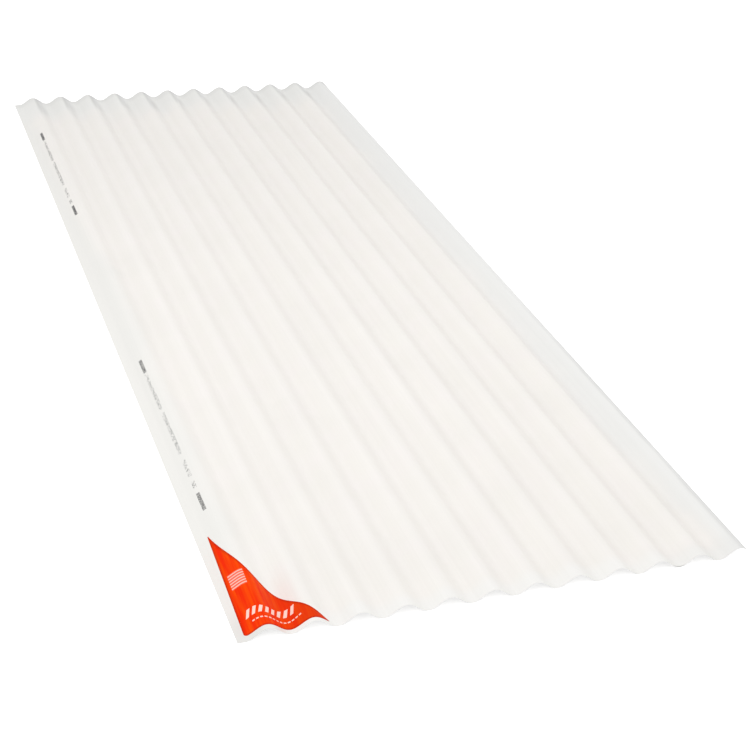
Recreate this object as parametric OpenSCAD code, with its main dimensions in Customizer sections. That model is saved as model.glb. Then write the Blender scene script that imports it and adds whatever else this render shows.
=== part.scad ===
// Corrugated PVC roofing sheet, one length of small-wave stock lying flat, with
// the triangular adhesive label that sits on one corner of its upper face.
// X runs across the waves, Y along them and Z up. The origin is under the middle
// of the sheet, on the level that the wave troughs rest on.

/* [Sheet] */
// Length of the sheet along its waves
sheet_l = 2400; // [600:10:6000]
// Width of the sheet across its waves
sheet_w = 900; // [300:10:1300]
// Thickness of the sheet, square to its surface
sheet_t = 1; // [0.6:0.1:3]

/* [Waves] */
// Distance from one crest to the next
wave_pitch = 76; // [40:1:180]
// Height from trough to crest, measured on one face
wave_depth = 18; // [6:0.5:50]
// Width of the level strip between the left edge and the first trough
edge_strip = 12; // [2:0.5:36]
// Flat steps that draw one whole wave
wave_steps = 24; // [12:4:48]

/* [Label] */
// Side of the label that runs along the left edge
label_l = 266; // [120:1:400]
// Side of the label that runs across the waves, seen from above
label_w = 137; // [100:1:250]
// How far the label's long side curves in at its middle
label_sag = 20; // [1:0.5:24]
// Strip between the sheet's left edge and the label's square corner
label_side_gap = 14; // [1:0.5:60]
// Strip between the sheet's near end and the label's square corner
label_end_gap = 12; // [1:0.5:60]
// Turn of the label about its square corner, clockwise seen from above
label_turn = 1.6; // [0:0.1:3]
// Radius of the label's square corner
label_corner_r = 6; // [0.5:0.5:12]
// Width of the blunt end of each sharp corner of the label
label_tip = 1.2; // [0.4:0.1:3]
// Thickness of the label with its adhesive
label_t = 0.3; // [0.1:0.1:1]

/* [Hidden] */

half_w = sheet_w / 2;
half_l = sheet_l / 2;
first_trough_x = edge_strip - half_w;
wave_step = wave_pitch / wave_steps;
label_x = label_side_gap - half_w;
label_y = label_end_gap - half_l;
corner_steps = 6;
long_side_steps = 24;
trim_h = 3 * (wave_depth + sheet_t);

// Every line where the drawn wave bends: the left edge, whole steps from the first
// trough on, and the right edge. A step that would fall on the edge is left to it.
last_step = ceil((sheet_w - edge_strip) / wave_step - 0.01) - 1;
bend_xs = [
    -half_w,
    for (i = [0:last_step]) first_trough_x + i * wave_step,
    half_w
];

// Angle along the wave, 0 at a trough and on the level strip, 180 at a crest
function phase(x) = 360 * max(x - first_trough_x, 0) / wave_pitch;

// Height of the middle of the wall
function middle_z(x) = sheet_t / 2 + wave_depth / 2 * (1 - cos(phase(x)));

// Vertical thickness of a skin of thickness t that follows the slope of the wave
function upright(x, t) =
    let (slope = PI * wave_depth / wave_pitch * sin(phase(x)))
    t * sqrt(1 + slope * slope);

function under_z(x) = middle_z(x) - upright(x, sheet_t / 2);
function top_z(x) = middle_z(x) + upright(x, sheet_t / 2);
function label_z(x) = middle_z(x) + upright(x, sheet_t / 2 + label_t);

function reversed(list) = [for (i = [len(list) - 1:-1:0]) list[i]];
function unit(v) = v / norm(v);

// Rounding of the label's square corner, from the side at the sheet's end to the
// side at its left edge
label_corner = [
    for (i = [0:corner_steps])
        let (a = 90 * i / corner_steps)
        label_corner_r * [1 - sin(a), 1 - cos(a)]
];

// The long side: a shallow inward arc between the two blunt corners, from the one
// at the sheet's left edge to the one out over the waves
arc_from = [label_tip, label_l];
arc_to = [label_w, label_tip];
arc_half = norm(arc_to - arc_from) / 2;
arc_r = (arc_half * arc_half + label_sag * label_sag) / (2 * label_sag);
arc_along = unit(arc_to - arc_from);
arc_out = [-arc_along[1], arc_along[0]];
arc_centre = (arc_from + arc_to) / 2 + arc_out * (arc_r - label_sag);
arc_turn = asin(arc_half / arc_r);
label_long_side = [
    for (i = [0:long_side_steps])
        let (a = arc_turn * (2 * i / long_side_steps - 1))
        arc_centre + arc_r * (arc_along * sin(a) - arc_out * cos(a))
];

module corrugated_sheet() {
    lower = [for (x = bend_xs) [x, under_z(x)]];
    upper = [for (x = bend_xs) [x, top_z(x)]];
    color("#F1EFEA")
        rotate([90, 0, 0])
            linear_extrude(height = sheet_l, center = true)
                polygon(concat(lower, reversed(upper)));
}

// Thin skin on the upper face, cut to the label's outline. It bends on the same
// lines as the sheet, so it lies on the sheet all over.
module corner_label() {
    skin_xs = [for (x = bend_xs) if (x < label_x + label_w + 2 * wave_step) x];
    lower = [for (x = skin_xs) [x, top_z(x)]];
    upper = [for (x = skin_xs) [x, label_z(x)]];
    outline = concat(label_corner, [[0, label_l]], label_long_side, [[label_w, 0]]);
    color("#F24A12")
        intersection() {
            rotate([90, 0, 0])
                linear_extrude(height = sheet_l, center = true)
                    polygon(concat(lower, reversed(upper)));
            translate([label_x, label_y, -trim_h / 3])
                rotate([0, 0, -label_turn])
                    linear_extrude(height = trim_h)
                        polygon(outline);
        }
}

corrugated_sheet();
corner_label();
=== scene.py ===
"""Looks of a corrugated PVC roofing sheet and its corner label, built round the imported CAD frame."""

import math

import bmesh
import bpy
from mathutils import Matrix, Vector


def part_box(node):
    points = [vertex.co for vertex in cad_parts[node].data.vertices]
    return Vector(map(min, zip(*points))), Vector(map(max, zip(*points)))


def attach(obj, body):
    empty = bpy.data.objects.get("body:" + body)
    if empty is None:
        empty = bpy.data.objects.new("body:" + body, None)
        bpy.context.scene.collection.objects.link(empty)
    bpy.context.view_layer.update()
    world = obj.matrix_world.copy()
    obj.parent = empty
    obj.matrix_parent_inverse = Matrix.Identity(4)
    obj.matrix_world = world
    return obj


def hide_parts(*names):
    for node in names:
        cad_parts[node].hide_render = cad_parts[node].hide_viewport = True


MM = 0.001
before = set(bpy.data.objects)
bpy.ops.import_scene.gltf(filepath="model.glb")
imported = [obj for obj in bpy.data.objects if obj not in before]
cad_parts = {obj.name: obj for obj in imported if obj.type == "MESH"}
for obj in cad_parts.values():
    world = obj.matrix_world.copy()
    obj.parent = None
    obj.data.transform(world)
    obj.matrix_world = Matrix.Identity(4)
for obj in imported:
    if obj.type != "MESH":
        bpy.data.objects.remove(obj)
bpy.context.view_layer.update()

# ---------------------------------------------------------------- sizes, in metres

SHEET_LOW, SHEET_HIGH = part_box("corrugated_sheet")
LABEL_LOW, LABEL_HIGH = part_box("corner_label")

WALL = 1 * MM
WAVE_PITCH = 76 * MM
WAVE_DEPTH = SHEET_HIGH.z - WALL
EDGE_STRIP = 12 * MM            # level strip outside the first trough
FIRST_TROUGH = SHEET_LOW.x + EDGE_STRIP
SHEET_LENGTH = SHEET_HIGH.y - SHEET_LOW.y
WAVES_ACROSS = math.ceil((SHEET_HIGH.x - FIRST_TROUGH) / WAVE_PITCH)
STEPS_PER_WAVE = 48
ROWS_ALONG = 12
EDGE_ROUND = 0.15 * MM          # a sawn edge, rubbed over by handling

LABEL_SIDE_GAP = 14 * MM
LABEL_END_GAP = 12 * MM
LABEL_CORNER = Vector((SHEET_LOW.x + LABEL_SIDE_GAP, SHEET_LOW.y + LABEL_END_GAP, 0))
LABEL_TURN = math.radians(1.6)  # clockwise, seen from above
LABEL_LENGTH = 266 * MM
LABEL_WIDTH = 137 * MM
LABEL_SAG = 20 * MM             # how far the long side curves in
LABEL_CORNER_ROUND = 6 * MM
LABEL_TIP = 1.2 * MM
FILM_THICK = 0.2 * MM

# Ornaments on the label
BAR_SPACING = 11.5 * MM
BAR_WIDTH = 6 * MM
BAR_LEAN = 0.35                 # sideways for each unit of height
DASH_SPACING = 7 * MM
DASH_LENGTH = 4.5 * MM
HATCH_SPACING = 6.5 * MM
SWAY_LENGTH = 96 * MM           # the bars and dashes sway up and down once in this length
SWAY_HEIGHT = 2.5 * MM

# A line of print on the first flank, in black dye, that spells nothing. Each group is where it starts, as a
# share of the run, and how much of it is inked: 1.0 is a solid bar, 0.0 is bare, and between them are dashes.
INK_X = FIRST_TROUGH + 21.8 * MM
INK_WIDTH = 5.8 * MM
INK_STARTS_AT = SHEET_HIGH.y - 252 * MM
INK_REPEAT = 1264 * MM
INK_RUN = 538 * MM
INK_DASH = 2.2 * MM
INK_ROWS = 5
INK_GROUPS = [(0.0, 1.0), (0.09, 0.0), (0.10, 0.4), (0.19, 0.5), (0.36, 0.0), (0.385, 0.4), (0.44, 0.5),
              (0.66, 0.0), (0.70, 0.4), (0.80, 0.0), (0.83, 0.45), (0.87, 0.0), (0.90, 1.0)]

DARK_ARC_TROUGH = 10             # the trough with a dark arc on the rim of its near end, counted from the first as 0
DARK_ARC_REACH = 13 * MM          # to each side of its middle
DARK_ARC_BOW = 2.5 * MM

# The phase of a slanted wave pattern grows by ten times its scale for each metre along X, and again along Z.
# A sawn end lies in both, so its marks are the root of two closer together than along X alone.
SAW_MARKS = 1.2 * MM            # from one saw mark to the next
SAW_SCALE = 2 * math.pi / (10 * math.sqrt(2) * SAW_MARKS)


# ---------------------------------------------------------------- hand tools

def only(piece):
    """Makes piece the one that is selected and active."""
    bpy.ops.object.select_all(action="DESELECT")
    piece.select_set(True)
    bpy.context.view_layer.objects.active = piece


def pick(piece, test):
    """In edit mode, selects the faces or edges whose middle, and normal for a face, pass the test."""
    mesh = bmesh.from_edit_mesh(piece.data)
    by_face = bpy.context.tool_settings.mesh_select_mode[2]
    bpy.ops.mesh.select_all(action="DESELECT")
    for part in (mesh.faces if by_face else mesh.edges):
        middle = sum((v.co for v in part.verts), Vector()) / len(part.verts)
        part.select_set(test(middle, part.normal if by_face else None))
    mesh.select_flush_mode()
    bmesh.update_edit_mesh(piece.data)


def edit(piece, mode):
    """Goes into edit mode on piece, to select by VERT, EDGE or FACE."""
    only(piece)
    bpy.ops.object.mode_set(mode="EDIT")
    bpy.ops.mesh.select_mode(type=mode)


def done():
    """Leaves edit mode."""
    bpy.ops.object.mode_set(mode="OBJECT")


def modify(piece, kind, **settings):
    """Adds a modifier with its settings and applies it."""
    only(piece)
    modifier = piece.modifiers.new(kind.lower(), kind)
    for name, value in settings.items():
        setattr(modifier, name, value)
    bpy.ops.object.modifier_apply(modifier=modifier.name)


# ---------------------------------------------------------------- the sheet

def wave_height(x):
    """Height of the middle of the wall above the level that the troughs rest on."""
    turn = 2 * math.pi * max(x - FIRST_TROUGH, 0) / WAVE_PITCH
    return WALL / 2 + WAVE_DEPTH / 2 * (1 - math.cos(turn))


def length_over_waves(start, end):
    """Length of the sheet's surface between two places across it."""
    steps = 40
    step = (end - start) / steps
    rises = [wave_height(start + (i + 1) * step) - wave_height(start + i * step) for i in range(steps)]
    return math.copysign(sum(math.hypot(step, rise) for rise in rises), step)


def corrugated_sheet():
    """The sheet with its wall, sawn to size and still sharp-edged."""
    # The level strip along the left edge, at the middle of the wall
    bpy.ops.object.select_all(action="DESELECT")
    bpy.ops.mesh.primitive_grid_add(x_subdivisions=1, y_subdivisions=ROWS_ALONG, size=1)
    sheet = bpy.context.object
    sheet.name = "waved_sheet"
    sheet.scale = (EDGE_STRIP, SHEET_LENGTH, 1)
    sheet.location = (SHEET_LOW.x + EDGE_STRIP / 2, 0, WALL / 2)
    bpy.ops.object.transform_apply(location=True, rotation=True, scale=True)

    # One wave, drawn on from the strip's inner side, then copied across the width
    edit(sheet, "EDGE")
    pick(sheet, lambda at, _: abs(at.x - FIRST_TROUGH) < EDGE_STRIP / 10)
    step = WAVE_PITCH / STEPS_PER_WAVE
    for i in range(STEPS_PER_WAVE):
        x = FIRST_TROUGH + i * step
        rise = wave_height(x + step) - wave_height(x)
        bpy.ops.mesh.extrude_region_move(TRANSFORM_OT_translate={"value": (step, 0, rise)})
    bpy.ops.mesh.select_mode(type="FACE")
    pick(sheet, lambda at, _: at.x > FIRST_TROUGH)
    for _ in range(WAVES_ACROSS - 1):
        bpy.ops.mesh.duplicate_move(TRANSFORM_OT_translate={"value": (WAVE_PITCH, 0, 0)})
    bpy.ops.mesh.select_all(action="SELECT")
    bpy.ops.mesh.remove_doubles(threshold=step / 50)
    bpy.ops.mesh.normals_make_consistent(inside=False)
    done()
    if sheet.data.polygons[0].normal.z < 0:
        edit(sheet, "FACE")
        bpy.ops.mesh.select_all(action="SELECT")
        bpy.ops.mesh.flip_normals()
        done()

    # The wall, then the right edge sawn to width
    modify(sheet, "SOLIDIFY", thickness=WALL, offset=0, use_even_offset=True)
    edit(sheet, "FACE")
    bpy.ops.mesh.select_all(action="SELECT")
    bpy.ops.mesh.bisect(plane_co=(SHEET_HIGH.x, 0, 0), plane_no=(1, 0, 0), use_fill=True, clear_outer=True)
    done()
    return sheet


def finish_sheet(sheet):
    """Rubs over the sawn edges and sets the shading. The label is copied off the sheet before this."""
    sharp = math.radians(50)
    modify(sheet, "BEVEL", width=EDGE_ROUND, segments=2, limit_method="ANGLE", angle_limit=sharp)
    only(sheet)
    bpy.ops.object.shade_smooth_by_angle(angle=sharp)
    modify(sheet, "WEIGHTED_NORMAL", keep_sharp=True)


# ---------------------------------------------------------------- the label

def long_side():
    """The label's long side, an arc in the label's own frame: start, centre, radius and half turn."""
    start = Vector((LABEL_TIP, LABEL_LENGTH, 0))
    end = Vector((LABEL_WIDTH, LABEL_TIP, 0))
    half = (end - start).length / 2
    radius = (half ** 2 + LABEL_SAG ** 2) / (2 * LABEL_SAG)
    along = (end - start).normalized()
    outward = Vector((-along.y, along.x, 0))
    return start, (start + end) / 2 + outward * (radius - LABEL_SAG), radius, math.asin(half / radius)


def label_stamp():
    """A prism with the label's outline, which cuts the film out of the sheet's upper skin."""
    start, centre, radius, half_turn = long_side()

    # One corner point, swept round the long side, led along the end and round the square corner
    bpy.ops.object.select_all(action="DESELECT")
    bpy.ops.mesh.primitive_plane_add(size=LABEL_TIP)
    stamp = bpy.context.object
    stamp.name = "label_stamp"
    edit(stamp, "VERT")
    bpy.ops.mesh.merge(type="CENTER")
    bpy.ops.transform.translate(value=start)
    bpy.ops.mesh.spin(steps=48, angle=-2 * half_turn, center=centre, axis=(0, 0, 1))
    bpy.ops.mesh.extrude_region_move(TRANSFORM_OT_translate={"value": (0, -LABEL_TIP, 0)})
    bpy.ops.mesh.extrude_region_move(
        TRANSFORM_OT_translate={"value": (LABEL_CORNER_ROUND - LABEL_WIDTH, 0, 0)})
    bpy.ops.mesh.spin(steps=12, angle=math.pi / 2, axis=(0, 0, 1),
                      center=(LABEL_CORNER_ROUND, LABEL_CORNER_ROUND, 0))
    bpy.ops.mesh.extrude_region_move(
        TRANSFORM_OT_translate={"value": (0, LABEL_LENGTH - LABEL_CORNER_ROUND, 0)})
    bpy.ops.mesh.extrude_region_move(TRANSFORM_OT_translate={"value": (LABEL_TIP, 0, 0)})
    bpy.ops.mesh.select_all(action="SELECT")
    bpy.ops.mesh.remove_doubles(threshold=LABEL_TIP / 50)
    bpy.ops.mesh.edge_face_add()
    bpy.ops.mesh.extrude_region_move(TRANSFORM_OT_translate={"value": (0, 0, 3 * WAVE_DEPTH)})
    bpy.ops.mesh.select_all(action="SELECT")
    bpy.ops.mesh.normals_make_consistent(inside=False)
    done()
    stamp.location = LABEL_CORNER - Vector((0, 0, WAVE_DEPTH))
    stamp.rotation_euler.z = -LABEL_TURN
    bpy.ops.object.transform_apply(location=True, rotation=True, scale=True)
    return stamp


def corner_label(sheet):
    """The label's film on the sheet, with a map of the flat film for its print."""
    # The sheet's upper skin where the label lies, so that the film bends on the same lines
    only(sheet)
    bpy.ops.object.duplicate()
    label = bpy.context.object
    label.name = "label_film"
    margin = WAVE_PITCH / 4
    row = SHEET_LENGTH / ROWS_ALONG

    def under_the_label(at, normal):
        across = LABEL_LOW.x - margin < at.x < LABEL_HIGH.x + margin
        return across and at.y < LABEL_HIGH.y + row and normal.z > 0.5 and abs(normal.y) < 0.5

    edit(label, "FACE")
    pick(label, under_the_label)
    bpy.ops.mesh.select_all(action="INVERT")
    bpy.ops.mesh.delete(type="FACE")
    done()

    # The film's own thickness, cut to its outline
    modify(label, "SOLIDIFY", thickness=FILM_THICK, offset=1, use_even_offset=True)
    stamp = label_stamp()
    modify(label, "BOOLEAN", object=stamp, operation="INTERSECT", solver="EXACT")
    bpy.data.objects.remove(stamp)
    only(label)
    bpy.ops.object.shade_smooth_by_angle(angle=math.radians(40))

    # The flat film's own measures, from its square corner
    layer = label.data.uv_layers.new(name="film")
    for loop in label.data.loops:
        at = label.data.vertices[loop.vertex_index].co
        flat = Vector((length_over_waves(LABEL_CORNER.x, at.x), at.y - LABEL_CORNER.y))
        layer.data[loop.index].uv = Matrix.Rotation(LABEL_TURN, 2) @ flat
    return label


# ---------------------------------------------------------------- materials

def colour(code):
    """Linear colour of an sRGB hex value such as F1EFEA."""
    parts = [int(code[i:i + 2], 16) / 255 for i in (0, 2, 4)]
    return [p / 12.92 if p <= 0.04045 else ((p + 0.055) / 1.055) ** 2.4 for p in parts] + [1]


def add(tree, kind, inputs=None, **settings):
    """Adds a node. Each input, by name or number, takes a value, a socket or a node's first output."""
    node = tree.nodes.new("ShaderNode" + kind)
    for name, value in settings.items():
        setattr(node, name, value)
    for key, value in (inputs or {}).items():
        if isinstance(key, int):
            socket = node.inputs[key]
        else:
            socket = [s for s in node.inputs if s.enabled and s.name == key][0]
        if isinstance(value, bpy.types.Node):
            value = [s for s in value.outputs if s.enabled][0]
        if isinstance(value, bpy.types.NodeSocket):
            tree.links.new(value, socket)
        else:
            socket.default_value = value
    return node


def new_material(name):
    """A material without nodes yet, and its node tree."""
    material = bpy.data.materials.new(name)
    material.use_nodes = True
    material.node_tree.nodes.clear()
    return material, material.node_tree


def soft_streaks(tree, place, width, length, detail=2.0):
    """Soft noise in grains about so wide across the waves and so long along them."""
    stretched = add(tree, "Mapping", {"Vector": place, "Scale": (1 / width, 1 / length, 1)})
    return add(tree, "TexNoise", {"Vector": stretched, "Scale": 1.0, "Detail": detail})


def near_edge(tree, distance, width, wobble):
    """One out to half the width and none past one and a half, with a border that wanders softly."""
    wandering = add(tree, "Math", {0: wobble, 1: width, 2: distance}, operation="MULTIPLY_ADD")
    return add(tree, "MapRange", {"Value": wandering, "From Min": width / 2, "From Max": 1.5 * width,
                                  "To Min": 1.0, "To Max": 0.0}, interpolation_type="SMOOTHSTEP")


def inside(tree, *limits):
    """One where every value lies between its two limits, and none elsewhere."""
    mask = 1.0
    for value, low, high in limits:
        middle, reach = (low + high) / 2, (high - low) / 2
        within = add(tree, "Math", {0: value, 1: middle, 2: reach}, operation="COMPARE")
        mask = add(tree, "Math", {0: within, 1: mask}, operation="MULTIPLY")
    return mask


# ---------------------------------------------------------------- opal PVC

def milky_tone(tree, place, clouds):
    """The white of the sheet: cloudy where the melt was thicker, with a warm blush."""
    thicker = add(tree, "MapRange", {"Value": clouds, "From Min": 0.35, "From Max": 0.65})
    tone = add(tree, "Mix", {"Factor": thicker, "A": colour("F0EDE8"), "B": colour("F2EFEA")},
               data_type="RGBA")
    elsewhere = add(tree, "Mapping", {"Vector": place, "Location": (3, 1, 0)})
    blush = add(tree, "MapRange", {"Value": soft_streaks(tree, elsewhere, 70 * MM, 70 * MM),
                                   "From Min": 0.42, "From Max": 0.7, "To Max": 0.4})
    return add(tree, "Mix", {"Factor": blush, "A": tone, "B": colour("F3EEEC")}, data_type="RGBA")


def drawn_lines(tree, tone, place, die_lines):
    """Faint light and dark lines along the waves, from the die and from slow bands in the melt."""
    melt_bands = soft_streaks(tree, place, 34 * MM, 1500 * MM, detail=1.0)
    for lines, depth in ((die_lines, 0.012), (melt_bands, 0.007)):
        shade = add(tree, "MapRange", {"Value": lines, "From Min": 0.3, "From Max": 0.7,
                                       "To Min": 1 - depth, "To Max": 1 + depth})
        tone = add(tree, "VectorMath", {0: tone, "Scale": shade}, operation="SCALE")
    return tone


def edge_distances(tree, x, y):
    """How far each place lies from the left, right, near and far edge of the sheet."""
    from_left = add(tree, "Math", {0: x, 1: SHEET_LOW.x}, operation="SUBTRACT")
    from_right = add(tree, "Math", {0: SHEET_HIGH.x, 1: x}, operation="SUBTRACT")
    from_near = add(tree, "Math", {0: y, 1: SHEET_LOW.y}, operation="SUBTRACT")
    from_far = add(tree, "Math", {0: SHEET_HIGH.y, 1: y}, operation="SUBTRACT")
    return from_left, from_right, from_near, from_far


def cooler_margins(tree, tone, distances, wobble):
    """A cooler white along all four edges, widest at the far end. It narrows to the far left and the near
    right corner."""
    strength = 0.9
    from_left, from_right, from_near, from_far = distances
    to_far_left = add(tree, "MapRange", {"Value": from_far, "From Min": 750 * MM, "From Max": 1100 * MM,
                                         "To Min": 2.2, "To Max": 1.0})
    from_left = add(tree, "Math", {0: from_left, 1: to_far_left}, operation="MULTIPLY")
    to_near_right = add(tree, "MapRange", {"Value": from_near, "From Min": 120 * MM, "From Max": 300 * MM,
                                           "To Min": 1.8, "To Max": 1.1})
    from_right = add(tree, "Math", {0: from_right, 1: to_near_right}, operation="MULTIPLY")
    for distance, width, shade in ((from_near, 30 * MM, "F1F0ED"),
                                   (from_left, 60 * MM, "EBEAE6"),
                                   (from_far, 130 * MM, "EBEBE8"),
                                   (from_right, 65 * MM, "EBEBE9")):
        margin = near_edge(tree, distance, width, wobble)
        margin = add(tree, "Math", {0: margin, 1: strength}, operation="MULTIPLY")
        tone = add(tree, "Mix", {"Factor": margin, "A": tone, "B": colour(shade)}, data_type="RGBA")
    return tone


def grey_marks_and_painted_shade(tree, tone, x, y, z, lean, distances, wobble):
    """Greys mixed into the sheet's white: painted shade over the far half, on the lee flanks of the waves
    near the far end and along the right edge, a grey far rim, greyer near corners and a dark arc at one
    trough."""
    from_left, from_right, from_near, from_far = distances
    # Painted shade: the far half greys a little more towards the far end.
    film = add(tree, "MapRange", {"Value": from_far, "From Max": SHEET_LENGTH / 2,
                                  "To Min": 0.03, "To Max": 0.0})
    # Painted shade: the flanks that face away from the lamp, below the crests, are greyed near the far end.
    lee_side = add(tree, "MapRange", {"Value": lean, "From Min": 0.05, "From Max": 0.4, "To Max": 0.25})
    under_crest = add(tree, "MapRange", {"Value": z, "From Min": 2 * MM, "From Max": 11 * MM})
    lee_flank_painted_shade = add(tree, "Math", {0: lee_side, 1: under_crest}, operation="MULTIPLY")
    faint_lee_painted_shade = add(tree, "Math", {0: lee_flank_painted_shade, 1: 0.2}, operation="MULTIPLY")
    # Painted shade: a grey band along the right edge, strongest towards the near end.
    painted_right_edge_shade = add(tree, "MapRange", {"Value": y, "From Min": -550 * MM, "From Max": -150 * MM,
                                     "To Min": 0.26, "To Max": 0.06}, interpolation_type="SMOOTHSTEP")
    from_left_corner = add(tree, "Math", {0: from_left, 1: from_near}, operation="MAXIMUM")

    # The right corner's greying runs four times as far along the end as up the side
    along_end = add(tree, "Math", {0: from_right, 1: 1 / 4}, operation="MULTIPLY")
    from_right_corner = add(tree, "Math", {0: along_end, 1: from_near}, operation="MAXIMUM")

    # The far end's greying, painted shade and grey rim alike, reaches a quarter as far in at the right edge
    # as it does 60 mm from it
    far_reach = add(tree, "MapRange", {"Value": from_right, "From Max": 60 * MM, "To Min": 0.25, "To Max": 1.0})
    from_far_darkening = add(tree, "Math", {0: from_far, 1: far_reach}, operation="DIVIDE")

    # A dark shallow arc on the rim of the near end at one trough
    dark_arc_middle = FIRST_TROUGH + DARK_ARC_TROUGH * WAVE_PITCH - 2 * MM
    aside = add(tree, "Math", {0: x, 1: dark_arc_middle}, operation="SUBTRACT")
    aside = add(tree, "Math", {0: aside, 1: DARK_ARC_REACH}, operation="DIVIDE")
    bow = add(tree, "Math", {0: aside, 1: 2.0}, operation="POWER")
    from_dark_arc = add(tree, "Math", {0: bow, 1: DARK_ARC_BOW, 2: from_near}, operation="MULTIPLY_ADD")

    # Each band mixes the colour towards grey: the far-half greying, the lee flanks and the right edge are
    # painted shade, the rest are grey marks.
    for distance, width, strength in ((from_far_darkening, SHEET_LENGTH, film),
                                      (from_far_darkening, 340 * MM, faint_lee_painted_shade),
                                      (from_far_darkening, 120 * MM, lee_flank_painted_shade),
                                      (from_far_darkening, 80 * MM, lee_flank_painted_shade),
                                      (from_far_darkening, 70 * MM, 0.02),
                                      (from_far_darkening, 24 * MM, 0.12),
                                      (from_far, 4 * MM, 0.25),
                                      (from_right, 12 * MM, painted_right_edge_shade),
                                      (from_right, 4 * MM, painted_right_edge_shade),
                                      (from_left_corner, 60 * MM, 0.13),
                                      (from_right_corner, 40 * MM, 0.06),
                                      (from_dark_arc, 1.8 * MM, 0.85)):
        darkening = near_edge(tree, distance, width, wobble)
        darkening = add(tree, "Math", {0: darkening, 1: strength}, operation="MULTIPLY")
        tone = add(tree, "Mix", {"Factor": darkening, "A": tone, "B": colour("A2A2A1")}, data_type="RGBA")
    return tone


def ink_line(tree, place, x, y, up):
    """How much ink lies at each place: solid bars and rows of short dashes, more worn at the near end.
    It lies on the upper face only."""
    across = add(tree, "MapRange", {"Value": x, "From Min": INK_X - INK_WIDTH / 2,
                                    "From Max": INK_X + INK_WIDTH / 2}, clamp=False)
    back = add(tree, "Math", {0: INK_STARTS_AT, 1: y}, operation="SUBTRACT")
    run = add(tree, "Math", {0: back, 1: INK_REPEAT}, operation="FLOORED_MODULO")
    share = add(tree, "Math", {0: run, 1: INK_RUN}, operation="DIVIDE")
    groups = add(tree, "ValToRGB", {"Fac": share})
    groups.color_ramp.interpolation = "CONSTANT"
    stops = groups.color_ramp.elements
    stops.remove(stops[1])
    for start, amount in INK_GROUPS:
        stop = stops.new(start) if start else stops[0]
        stop.color = (amount, amount, amount, 1)

    row = add(tree, "Math", {0: across, 1: INK_ROWS}, operation="MULTIPLY")
    dash = add(tree, "Math", {0: run, 1: INK_DASH}, operation="DIVIDE")
    cell = add(tree, "CombineXYZ", {0: add(tree, "Math", {0: dash}, operation="FLOOR"),
                                    1: add(tree, "Math", {0: row}, operation="FLOOR")})
    chance = add(tree, "TexWhiteNoise", {"Vector": cell}, noise_dimensions="2D").outputs["Value"]
    inked = add(tree, "Math", {0: chance, 1: groups}, operation="LESS_THAN")
    in_row = inside(tree, (add(tree, "Math", {0: row}, operation="FRACT"), 0.15, 0.85))
    dashes = add(tree, "Math", {0: inked, 1: in_row}, operation="MULTIPLY")
    bars = add(tree, "Math", {0: groups, 1: 0.99}, operation="GREATER_THAN")
    marks = add(tree, "Math", {0: dashes, 1: bars}, operation="MAXIMUM")

    line = inside(tree, (across, 0.0, 1.0), (share, 0.0, 1.0), (up, 0.3, 1.1))
    marks = add(tree, "Math", {0: marks, 1: line}, operation="MULTIPLY")
    worn = soft_streaks(tree, place, 3 * MM, 3 * MM)
    left = add(tree, "MapRange", {"Value": worn, "From Min": 0.35, "From Max": 0.6,
                                  "To Min": 0.35, "To Max": 0.85})
    marks = add(tree, "Math", {0: marks, 1: left}, operation="MULTIPLY")
    kept = add(tree, "MapRange", {"Value": y, "From Min": -400 * MM, "From Max": 800 * MM,
                                  "To Min": 1.0, "To Max": 1.5})
    return add(tree, "Math", {0: marks, 1: kept}, operation="MULTIPLY")
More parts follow.
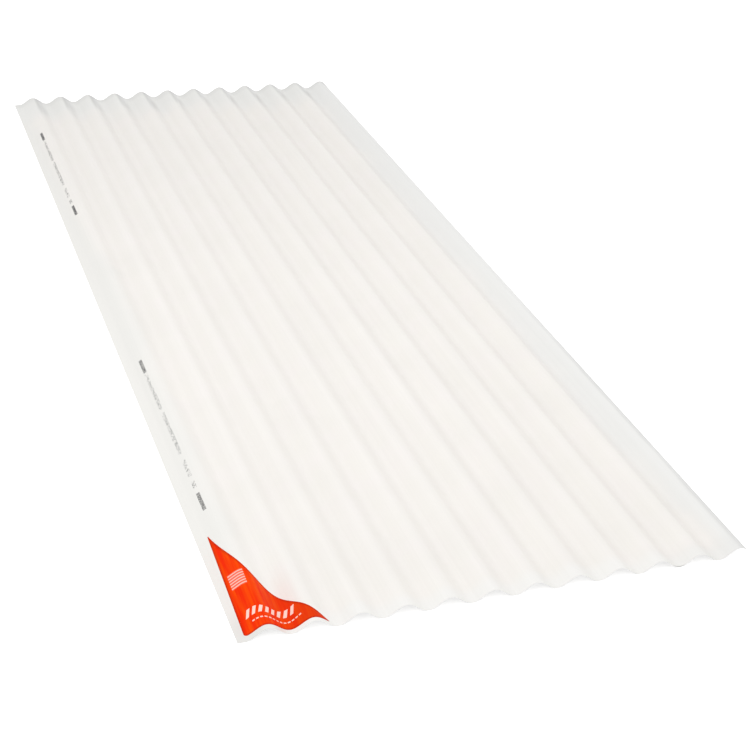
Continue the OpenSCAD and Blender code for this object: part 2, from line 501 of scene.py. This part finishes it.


# Opal rigid PVC, extruded: milky white all through, with the low satin shine of a skin that cooled on
# rollers. The eye gets faint die lines along the waves, a cloudy tone, cooler margins, crests that are
# scuffed from stacking, a black line of print, a grey far rim, painted shade over the far half, on the lee
# flanks near the far end and along the right edge, and matt sawn ends with painted light that lifts them to
# near white.
# The die lines are about 0.5 mm apart on the real sheet. Here they are 2.5 mm apart, so that they still show.
def opal_pvc():
    material, tree = new_material("opal_rigid_pvc_extruded")
    place = add(tree, "TexCoord").outputs["Object"]
    x, y, z = add(tree, "SeparateXYZ", {"Vector": place}).outputs
    normal = add(tree, "NewGeometry").outputs["Normal"]
    lean, endwise, up = add(tree, "SeparateXYZ", {"Vector": normal}).outputs
    die_lines = soft_streaks(tree, place, 2.5 * MM, 900 * MM)
    clouds = soft_streaks(tree, place, 140 * MM, 140 * MM, detail=3.0)
    wobble = add(tree, "Math", {0: clouds, 1: 0.5}, operation="SUBTRACT")
    distances = edge_distances(tree, x, y)

    tone = milky_tone(tree, place, clouds)
    tone = cooler_margins(tree, tone, distances, wobble)
    tone = drawn_lines(tree, tone, place, die_lines)
    tone = grey_marks_and_painted_shade(tree, tone, x, y, z, lean, distances, wobble)
    tone = add(tree, "Mix", {"Factor": ink_line(tree, place, x, y, up), "A": tone, "B": colour("1D1D1F")},
               data_type="RGBA")
    facing_an_end = add(tree, "Math", {0: endwise}, operation="ABSOLUTE")
    sawn = add(tree, "Math", {0: facing_an_end, 1: 0.7}, operation="GREATER_THAN")
    # Painted light: faces that look along the sheet, its sawn ends, are mixed most of the way to near white
    # to lift the shade on them.
    painted_end_light = add(tree, "Math", {0: sawn, 1: 0.7}, operation="MULTIPLY")
    tone = add(tree, "Mix", {"Factor": painted_end_light, "A": tone, "B": colour("FAFAF8")}, data_type="RGBA")

    # Satin skin: rougher in the die lines and on the crests, which rub in the stack, and matt on sawn ends
    satin = add(tree, "MapRange", {"Value": die_lines, "From Min": 0.3, "From Max": 0.7,
                                   "To Min": 0.30, "To Max": 0.40})
    crest = add(tree, "MapRange", {"Value": z, "From Min": 0.8 * WAVE_DEPTH, "From Max": WAVE_DEPTH})
    rubs = add(tree, "MapRange", {"Value": soft_streaks(tree, place, 1.5 * MM, 60 * MM, detail=3.0),
                                  "From Min": 0.5, "From Max": 0.7})
    scuffed = add(tree, "Math", {0: crest, 1: rubs}, operation="MULTIPLY")
    rough = add(tree, "Math", {0: scuffed, 1: 0.14, 2: satin}, operation="MULTIPLY_ADD")
    rough = add(tree, "Mix", {"Factor": sawn, "A": rough, "B": 0.62}, data_type="FLOAT")

    # Relief: the slow ripple of a sheet that cooled on rollers, the die lines, and the saw marks on the ends
    ripple = soft_streaks(tree, place, 60 * MM, 160 * MM)
    saw = add(tree, "TexWave", {"Vector": place, "Scale": SAW_SCALE, "Distortion": 1.5, "Detail": 2.0},
              bands_direction="DIAGONAL")
    sawing = add(tree, "Math", {0: sawn, 1: 0.6}, operation="MULTIPLY")
    relief = None
    for height, depth, strength in ((ripple, 0.2 * MM, 1.0),
                                    (die_lines, 0.04 * MM, 1.0),
                                    (saw, 0.1 * MM, sawing)):
        under = {"Normal": relief} if relief else {}
        relief = add(tree, "Bump", {"Height": height, "Distance": depth, "Strength": strength, **under})
    shader = add(tree, "BsdfPrincipled", {"Base Color": tone, "Roughness": rough, "IOR": 1.53,
                                          "Normal": relief})
    add(tree, "OutputMaterial", {"Surface": shader})
    return material


# ---------------------------------------------------------------- label film

def label_edge(tree):
    """How far each place of the label lies inside its outline."""
    place = add(tree, "TexCoord").outputs["Object"]
    flat = add(tree, "VectorMath", {0: place, 1: (1, 1, 0)}, operation="MULTIPLY")
    own = add(tree, "Mapping", {"Vector": flat, "Location": LABEL_CORNER, "Rotation": (0, 0, -LABEL_TURN)},
              vector_type="TEXTURE")
    _, centre, radius, _ = long_side()
    from_centre = add(tree, "VectorMath", {0: own, 1: centre}, operation="DISTANCE").outputs["Value"]
    nearest = add(tree, "Math", {0: from_centre, 1: radius}, operation="SUBTRACT")
    for side in add(tree, "SeparateXYZ", {"Vector": own}).outputs[:2]:
        nearest = add(tree, "Math", {0: nearest, 1: side}, operation="MINIMUM")
    return nearest


# Printed vinyl film, self-adhesive: a strong orange red laid down by a roller in lengthwise bands, duller
# towards its tip over the waves, pale ornaments in it, a deeper die-cut edge where the ink gathers, and a
# matt varnish in faint creases.
def vinyl_film():
    material, tree = new_material("printed_vinyl_film")
    film = add(tree, "UVMap", uv_map="film").outputs["UV"]
    across, along, _ = add(tree, "SeparateXYZ", {"Vector": film}).outputs

    bands = add(tree, "MapRange", {"Value": soft_streaks(tree, film, 9 * MM, 150 * MM, detail=3.0),
                                   "From Min": 0.4, "From Max": 0.62})
    field = add(tree, "Mix", {"Factor": bands, "A": colour("F32C00"), "B": colour("FA4E00")},
                data_type="RGBA")
    duller = add(tree, "MapRange", {"Value": across, "From Min": LABEL_WIDTH / 4, "From Max": LABEL_WIDTH,
                                    "To Max": 0.75})
    field = add(tree, "Mix", {"Factor": duller, "A": field, "B": colour("D93A0C")}, data_type="RGBA")
    gathered = add(tree, "MapRange", {"Value": label_edge(tree), "From Min": 0.5 * MM,
                                      "From Max": 4.5 * MM, "To Min": 0.75, "To Max": 0.0})
    field = add(tree, "Mix", {"Factor": gathered, "A": field, "B": colour("B82602")}, data_type="RGBA")

    # Ornaments: a row of dashes near the end, a swaying band of leaning bars over it, and a hatched patch
    # far up the left side
    sway = add(tree, "Math", {0: across, 1: 2 * math.pi / SWAY_LENGTH}, operation="MULTIPLY")
    sway = add(tree, "Math", {0: sway}, operation="SINE")
    swayed = add(tree, "Math", {0: sway, 1: -SWAY_HEIGHT, 2: along}, operation="MULTIPLY_ADD")
    leaning = add(tree, "Math", {0: along, 1: -BAR_LEAN, 2: across}, operation="MULTIPLY_ADD")
    bar = add(tree, "Math", {0: leaning, 1: BAR_SPACING}, operation="FLOORED_MODULO")
    dash = add(tree, "Math", {0: across, 1: DASH_SPACING}, operation="FLOORED_MODULO")
    hatch = add(tree, "Math", {0: along, 1: HATCH_SPACING}, operation="FLOORED_MODULO")
    bars = ((bar, 0.0, BAR_WIDTH),
            (leaning, 0.0, 8 * BAR_SPACING),
            (swayed, 32 * MM, 49 * MM))
    dashes = ((dash, 0.0, DASH_LENGTH),
              (across, 3 * DASH_SPACING, 16 * DASH_SPACING),
              (swayed, 18 * MM, 21 * MM))
    patch = ((across, 8 * MM, 36 * MM), (along, 17 * HATCH_SPACING, 23 * HATCH_SPACING))
    hatching = ((hatch, 2 * MM, 4.6 * MM), *patch)
    pale = "FFE0D4"
    for limits, strength, shade in ((patch, 0.5, "FF8A76"),
                                    (bars, 0.92, pale),
                                    (dashes, 0.85, pale),
                                    (hatching, 0.7, pale)):
        open_film = add(tree, "Math", {0: inside(tree, *limits), 1: strength}, operation="MULTIPLY")
        field = add(tree, "Mix", {"Factor": open_film, "A": field, "B": colour(shade)}, data_type="RGBA")

    creases = soft_streaks(tree, film, 18 * MM, 18 * MM, detail=3.0)
    varnish = add(tree, "MapRange", {"Value": creases, "To Min": 0.38, "To Max": 0.5})
    relief = add(tree, "Bump", {"Strength": 1.0, "Distance": 0.15 * MM, "Height": creases})
    shader = add(tree, "BsdfPrincipled", {"Base Color": field, "Roughness": varnish, "IOR": 1.45,
                                          "Specular IOR Level": 0.03, "Normal": relief})
    add(tree, "OutputMaterial", {"Surface": shader})
    return material


# ---------------------------------------------------------------- floor

FLOOR_LIFT = 0.6


def seen_directly(tree):
    """One for rays from the camera, and for those sent on by gloss or through glass, else none."""
    path = add(tree, "LightPath").outputs
    seen = path["Is Camera Ray"]
    for passed_on in (path["Is Glossy Ray"], path["Is Transmission Ray"]):
        seen = add(tree, "Math", {0: seen, 1: passed_on}, operation="MAXIMUM")
    return seen


# Matt white studio floor: it shows the object's shadow and is plain white to the eye elsewhere. The glow that
# lifts it to white is seen directly and in gloss, and adds no soft light to the object.
def studio_white():
    material, tree = new_material("matt_white_floor")
    board = add(tree, "BsdfDiffuse", {"Color": colour("F0F0F0")})
    lift = add(tree, "Math", {0: seen_directly(tree), 1: FLOOR_LIFT}, operation="MULTIPLY")
    glow = add(tree, "Emission", {"Color": colour("FFFFFF"), "Strength": lift})
    add(tree, "OutputMaterial", {"Surface": add(tree, "AddShader", {0: board, 1: glow})})
    return material


# ---------------------------------------------------------------- studio

WORLD_STRENGTH = 0.886
LAMP_PLACE = Vector((-0.7, -0.6, 2.4))
LAMP_AIM = Vector((0, -0.9, 0))
LAMP_WATTS = 12
LAMP_WIDTH = 1.0
LAMP_LENGTH = 1.4
FLOOR_SIZE = 60


def studio():
    """A white floor just under the troughs, a white room and one soft lamp."""
    bpy.ops.object.select_all(action="DESELECT")
    bpy.ops.mesh.primitive_plane_add(size=FLOOR_SIZE, location=(0, 0, -0.1 * MM))
    floor = bpy.context.object
    floor.name = "floor"
    floor.data.materials.append(studio_white())

    world = bpy.data.worlds.new("white_room")
    bpy.context.scene.world = world
    world.use_nodes = True
    tree = world.node_tree
    tree.nodes.clear()
    strength = add(tree, "Mix", {"Factor": seen_directly(tree), "A": WORLD_STRENGTH, "B": 1.0},
                   data_type="FLOAT")
    sky = add(tree, "Background", {"Color": colour("FFFFFF"), "Strength": strength})
    add(tree, "OutputWorld", {"Surface": sky})

    bpy.ops.object.light_add(type="AREA", location=LAMP_PLACE)
    lamp = bpy.context.object
    lamp.name = "soft_box"
    lamp.data.shape = "RECTANGLE"
    lamp.data.size = LAMP_WIDTH
    lamp.data.size_y = LAMP_LENGTH
    lamp.data.energy = LAMP_WATTS
    lamp.rotation_euler = (LAMP_AIM - LAMP_PLACE).to_track_quat("-Z", "Y").to_euler()


EYE_PLACE = Vector((-0.9618, -3.0297, 1.5649))
EYE_AZIMUTH = math.radians(-21.11)  # the way it looks, anticlockwise from +Y
EYE_DOWN = math.radians(29.56)      # how far it looks down
EYE_ROLL = math.radians(3.88)
SENSOR = 36
LENS = 75.63


def camera():
    """Looks down along the waves from beyond the labelled end, to the left of the sheet."""
    data = bpy.data.cameras.new("camera")
    data.sensor_width = SENSOR
    data.lens = LENS
    eye = bpy.data.objects.new("camera", data)
    bpy.context.scene.collection.objects.link(eye)
    tilt = Matrix.Rotation(math.pi / 2 - EYE_DOWN, 4, "X")
    aim = Matrix.Rotation(EYE_AZIMUTH, 4, "Z") @ tilt @ Matrix.Rotation(EYE_ROLL, 4, "Z")
    eye.matrix_world = Matrix.Translation(EYE_PLACE) @ aim
    bpy.context.scene.camera = eye


# ---------------------------------------------------------------- assembly

sheet = corrugated_sheet()
label = corner_label(sheet)
finish_sheet(sheet)
sheet.data.materials.clear()
sheet.data.materials.append(opal_pvc())
label.data.materials.clear()
label.data.materials.append(vinyl_film())
for piece, node, slot in ((sheet, "corrugated_sheet", "opal_pvc"), (label, "corner_label", "label_film")):
    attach(piece, "root")
    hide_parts(node)

studio()
camera()
bpy.context.scene.view_settings.view_transform = "Standard"
